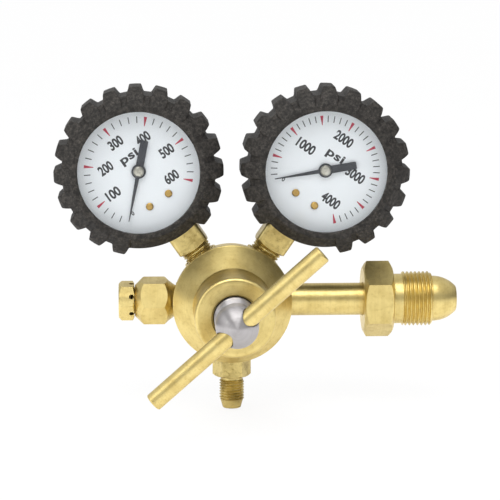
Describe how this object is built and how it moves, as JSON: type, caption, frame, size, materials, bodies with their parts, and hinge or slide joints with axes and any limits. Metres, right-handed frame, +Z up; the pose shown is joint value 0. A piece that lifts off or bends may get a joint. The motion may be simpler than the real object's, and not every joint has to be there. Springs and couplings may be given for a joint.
{
  "type": "gas regulator",
  "caption": "Cylinder gas regulator: brass body and bonnet, screw handle with a T bar, nut and nipple inlet, relief valve, flare outlet, dial gauges in toothed rubber boots.",
  "frame": {"origin": "tip of the inlet nipple's nose, on the inlet's axis, where it seats in a cylinder valve", "axes": "+X out of the inlet along its axis, -Y towards the person who reads the gauges and turns the handle, +Z up, with the outlet pointing down"},
  "size_m": [0.1801, 0.0944, 0.1465],
  "materials": {
    "brass": "satin turned and machined brass",
    "steel": "turned steel, bright",
    "spring_steel": "drawn spring wire, dull grey",
    "thin_steel": "thin stainless steel sheet, pressed",
    "copper": "soft copper washer, dull",
    "bronze": "phosphor bronze tube and sintered bronze, matt",
    "polymer": "hard white seat polymer",
    "rubber": "moulded black rubber, fine grain",
    "black_paint": "black enamel",
    "white_paint": "white enamel with printed scales",
    "clear": "clear moulded lens"
  },
  "bodies": {
    "regulator": {"body": "brass", "bonnet": "brass", "range_spring": "spring_steel", "diaphragm": "thin_steel", "slip_ring": "steel", "seat_nozzle": "brass", "valve_spring": "spring_steel", "rear_plug": "brass", "plug_gasket": "copper", "inlet_nipple": "brass", "inlet_filter": "bronze", "outlet_fitting": "brass", "relief_body": "brass", "relief_cap": "brass", "relief_spring": "spring_steel", "left_socket": "brass", "left_case": "black_paint", "left_lens": "clear", "left_dial": "white_paint", "left_dial_screw_left": "brass", "left_dial_screw_right": "brass", "left_bourdon_tube": "bronze", "left_movement_back_plate": "brass", "left_movement_front_plate": "brass", "left_hairspring": "spring_steel", "left_boot": "rubber", "right_socket": "brass", "right_case": "black_paint", "right_lens": "clear", "right_dial": "white_paint", "right_dial_screw_left": "brass", "right_dial_screw_right": "brass", "right_bourdon_tube": "bronze", "right_movement_back_plate": "brass", "right_movement_front_plate": "brass", "right_hairspring": "spring_steel", "right_boot": "rubber"},
    "button": {"spring_button": "steel"},
    "handle": {"adjusting_screw": "steel", "tee_bar": "brass"},
    "plate": {"diaphragm_plate": "brass"},
    "valve": {"valve_stem": "steel", "seat_disc": "polymer"},
    "poppet": {"relief_poppet": "brass"},
    "nut": {"inlet_nut": "brass"},
    "left_pointer": {"left_pointer": "black_paint", "left_pointer_cap": "brass", "left_pinion": "brass"},
    "left_sector": {"left_sector_gear": "brass"},
    "left_link": {"left_link": "brass"},
    "right_pointer": {"right_pointer": "black_paint", "right_pointer_cap": "brass", "right_pinion": "brass"},
    "right_sector": {"right_sector_gear": "brass"},
    "right_link": {"right_link": "brass"}
  },
  "joints": [
    {"name": "button_slide", "type": "slide", "parent": "regulator", "child": "button", "axis": [0, 1, 0], "range_m": [0, 0.00556], "deforming": ["range_spring"]},
    {"name": "handle_turn", "type": "hinge", "parent": "button", "child": "handle", "pos_m": [-0.1012, -0.0679, 0], "axis": [0, 1, 0], "range_deg": [0, 1260]},
    {"name": "plate_slide", "type": "slide", "parent": "regulator", "child": "plate", "axis": [0, 1, 0], "range_m": [0, 0.0008], "stiffness_N_per_m": 20000, "springref_m": -0.0012, "deforming": ["range_spring", "diaphragm"]},
    {"name": "valve_slide", "type": "slide", "parent": "regulator", "child": "valve", "axis": [0, 1, 0], "range_m": [0, 0.0008], "deforming": ["valve_spring"]},
    {"name": "relief_slide", "type": "slide", "parent": "regulator", "child": "poppet", "axis": [-1, 0, 0], "range_m": [0, 0.0015], "stiffness_N_per_m": 3000, "springref_m": -0.004, "deforming": ["relief_spring"]},
    {"name": "nut_turn", "type": "hinge", "parent": "regulator", "child": "nut", "pos_m": [-0.0357, 0, 0], "axis": [1, 0, 0], "continuous": true},
    {"name": "left_pointer_turn", "type": "hinge", "parent": "regulator", "child": "left_pointer", "pos_m": [-0.14247, -0.0105, 0.0596], "axis": [0, 1, 0], "range_deg": [0, 268], "stiffness_Nm_per_rad": 0.0005, "springref_deg": -34.38, "deforming": ["left_hairspring", "left_bourdon_tube"]},
    {"name": "left_sector_turn", "type": "hinge", "parent": "regulator", "child": "left_sector", "pos_m": [-0.12925, -0.0034, 0.0572], "axis": [0, 1, 0], "range_deg": [-42.5, 0]},
    {"name": "left_link_turn", "type": "hinge", "parent": "left_sector", "child": "left_link", "pos_m": [-0.12482, -0.002, 0.0564], "axis": [0, 1, 0], "range_deg": [0, 42.5]},
    {"name": "right_pointer_turn", "type": "hinge", "parent": "regulator", "child": "right_pointer", "pos_m": [-0.05993, -0.0105, 0.0596], "axis": [0, 1, 0], "range_deg": [0, 268], "stiffness_Nm_per_rad": 0.0005, "springref_deg": -34.38, "deforming": ["right_hairspring", "right_bourdon_tube"]},
    {"name": "right_sector_turn", "type": "hinge", "parent": "regulator", "child": "right_sector", "pos_m": [-0.05752, -0.0034, 0.04638], "axis": [0, 1, 0], "range_deg": [-42.5, 0]},
    {"name": "right_link_turn", "type": "hinge", "parent": "right_sector", "child": "right_link", "pos_m": [-0.05672, -0.002, 0.04195], "axis": [0, 1, 0], "range_deg": [0, 42.5]}
  ],
  "couplings": [
    {"joint": "button_slide", "follows": "handle_turn", "m_per_rad": 0.00025266},
    {"joint": "valve_slide", "follows": "plate_slide", "ratio": 1},
    {"joint": "left_sector_turn", "follows": "left_pointer_turn", "ratio": -0.14286},
    {"joint": "left_link_turn", "follows": "left_pointer_turn", "ratio": 0.14286},
    {"joint": "right_sector_turn", "follows": "right_pointer_turn", "ratio": -0.14286},
    {"joint": "right_link_turn", "follows": "right_pointer_turn", "ratio": 0.14286}
  ]
}
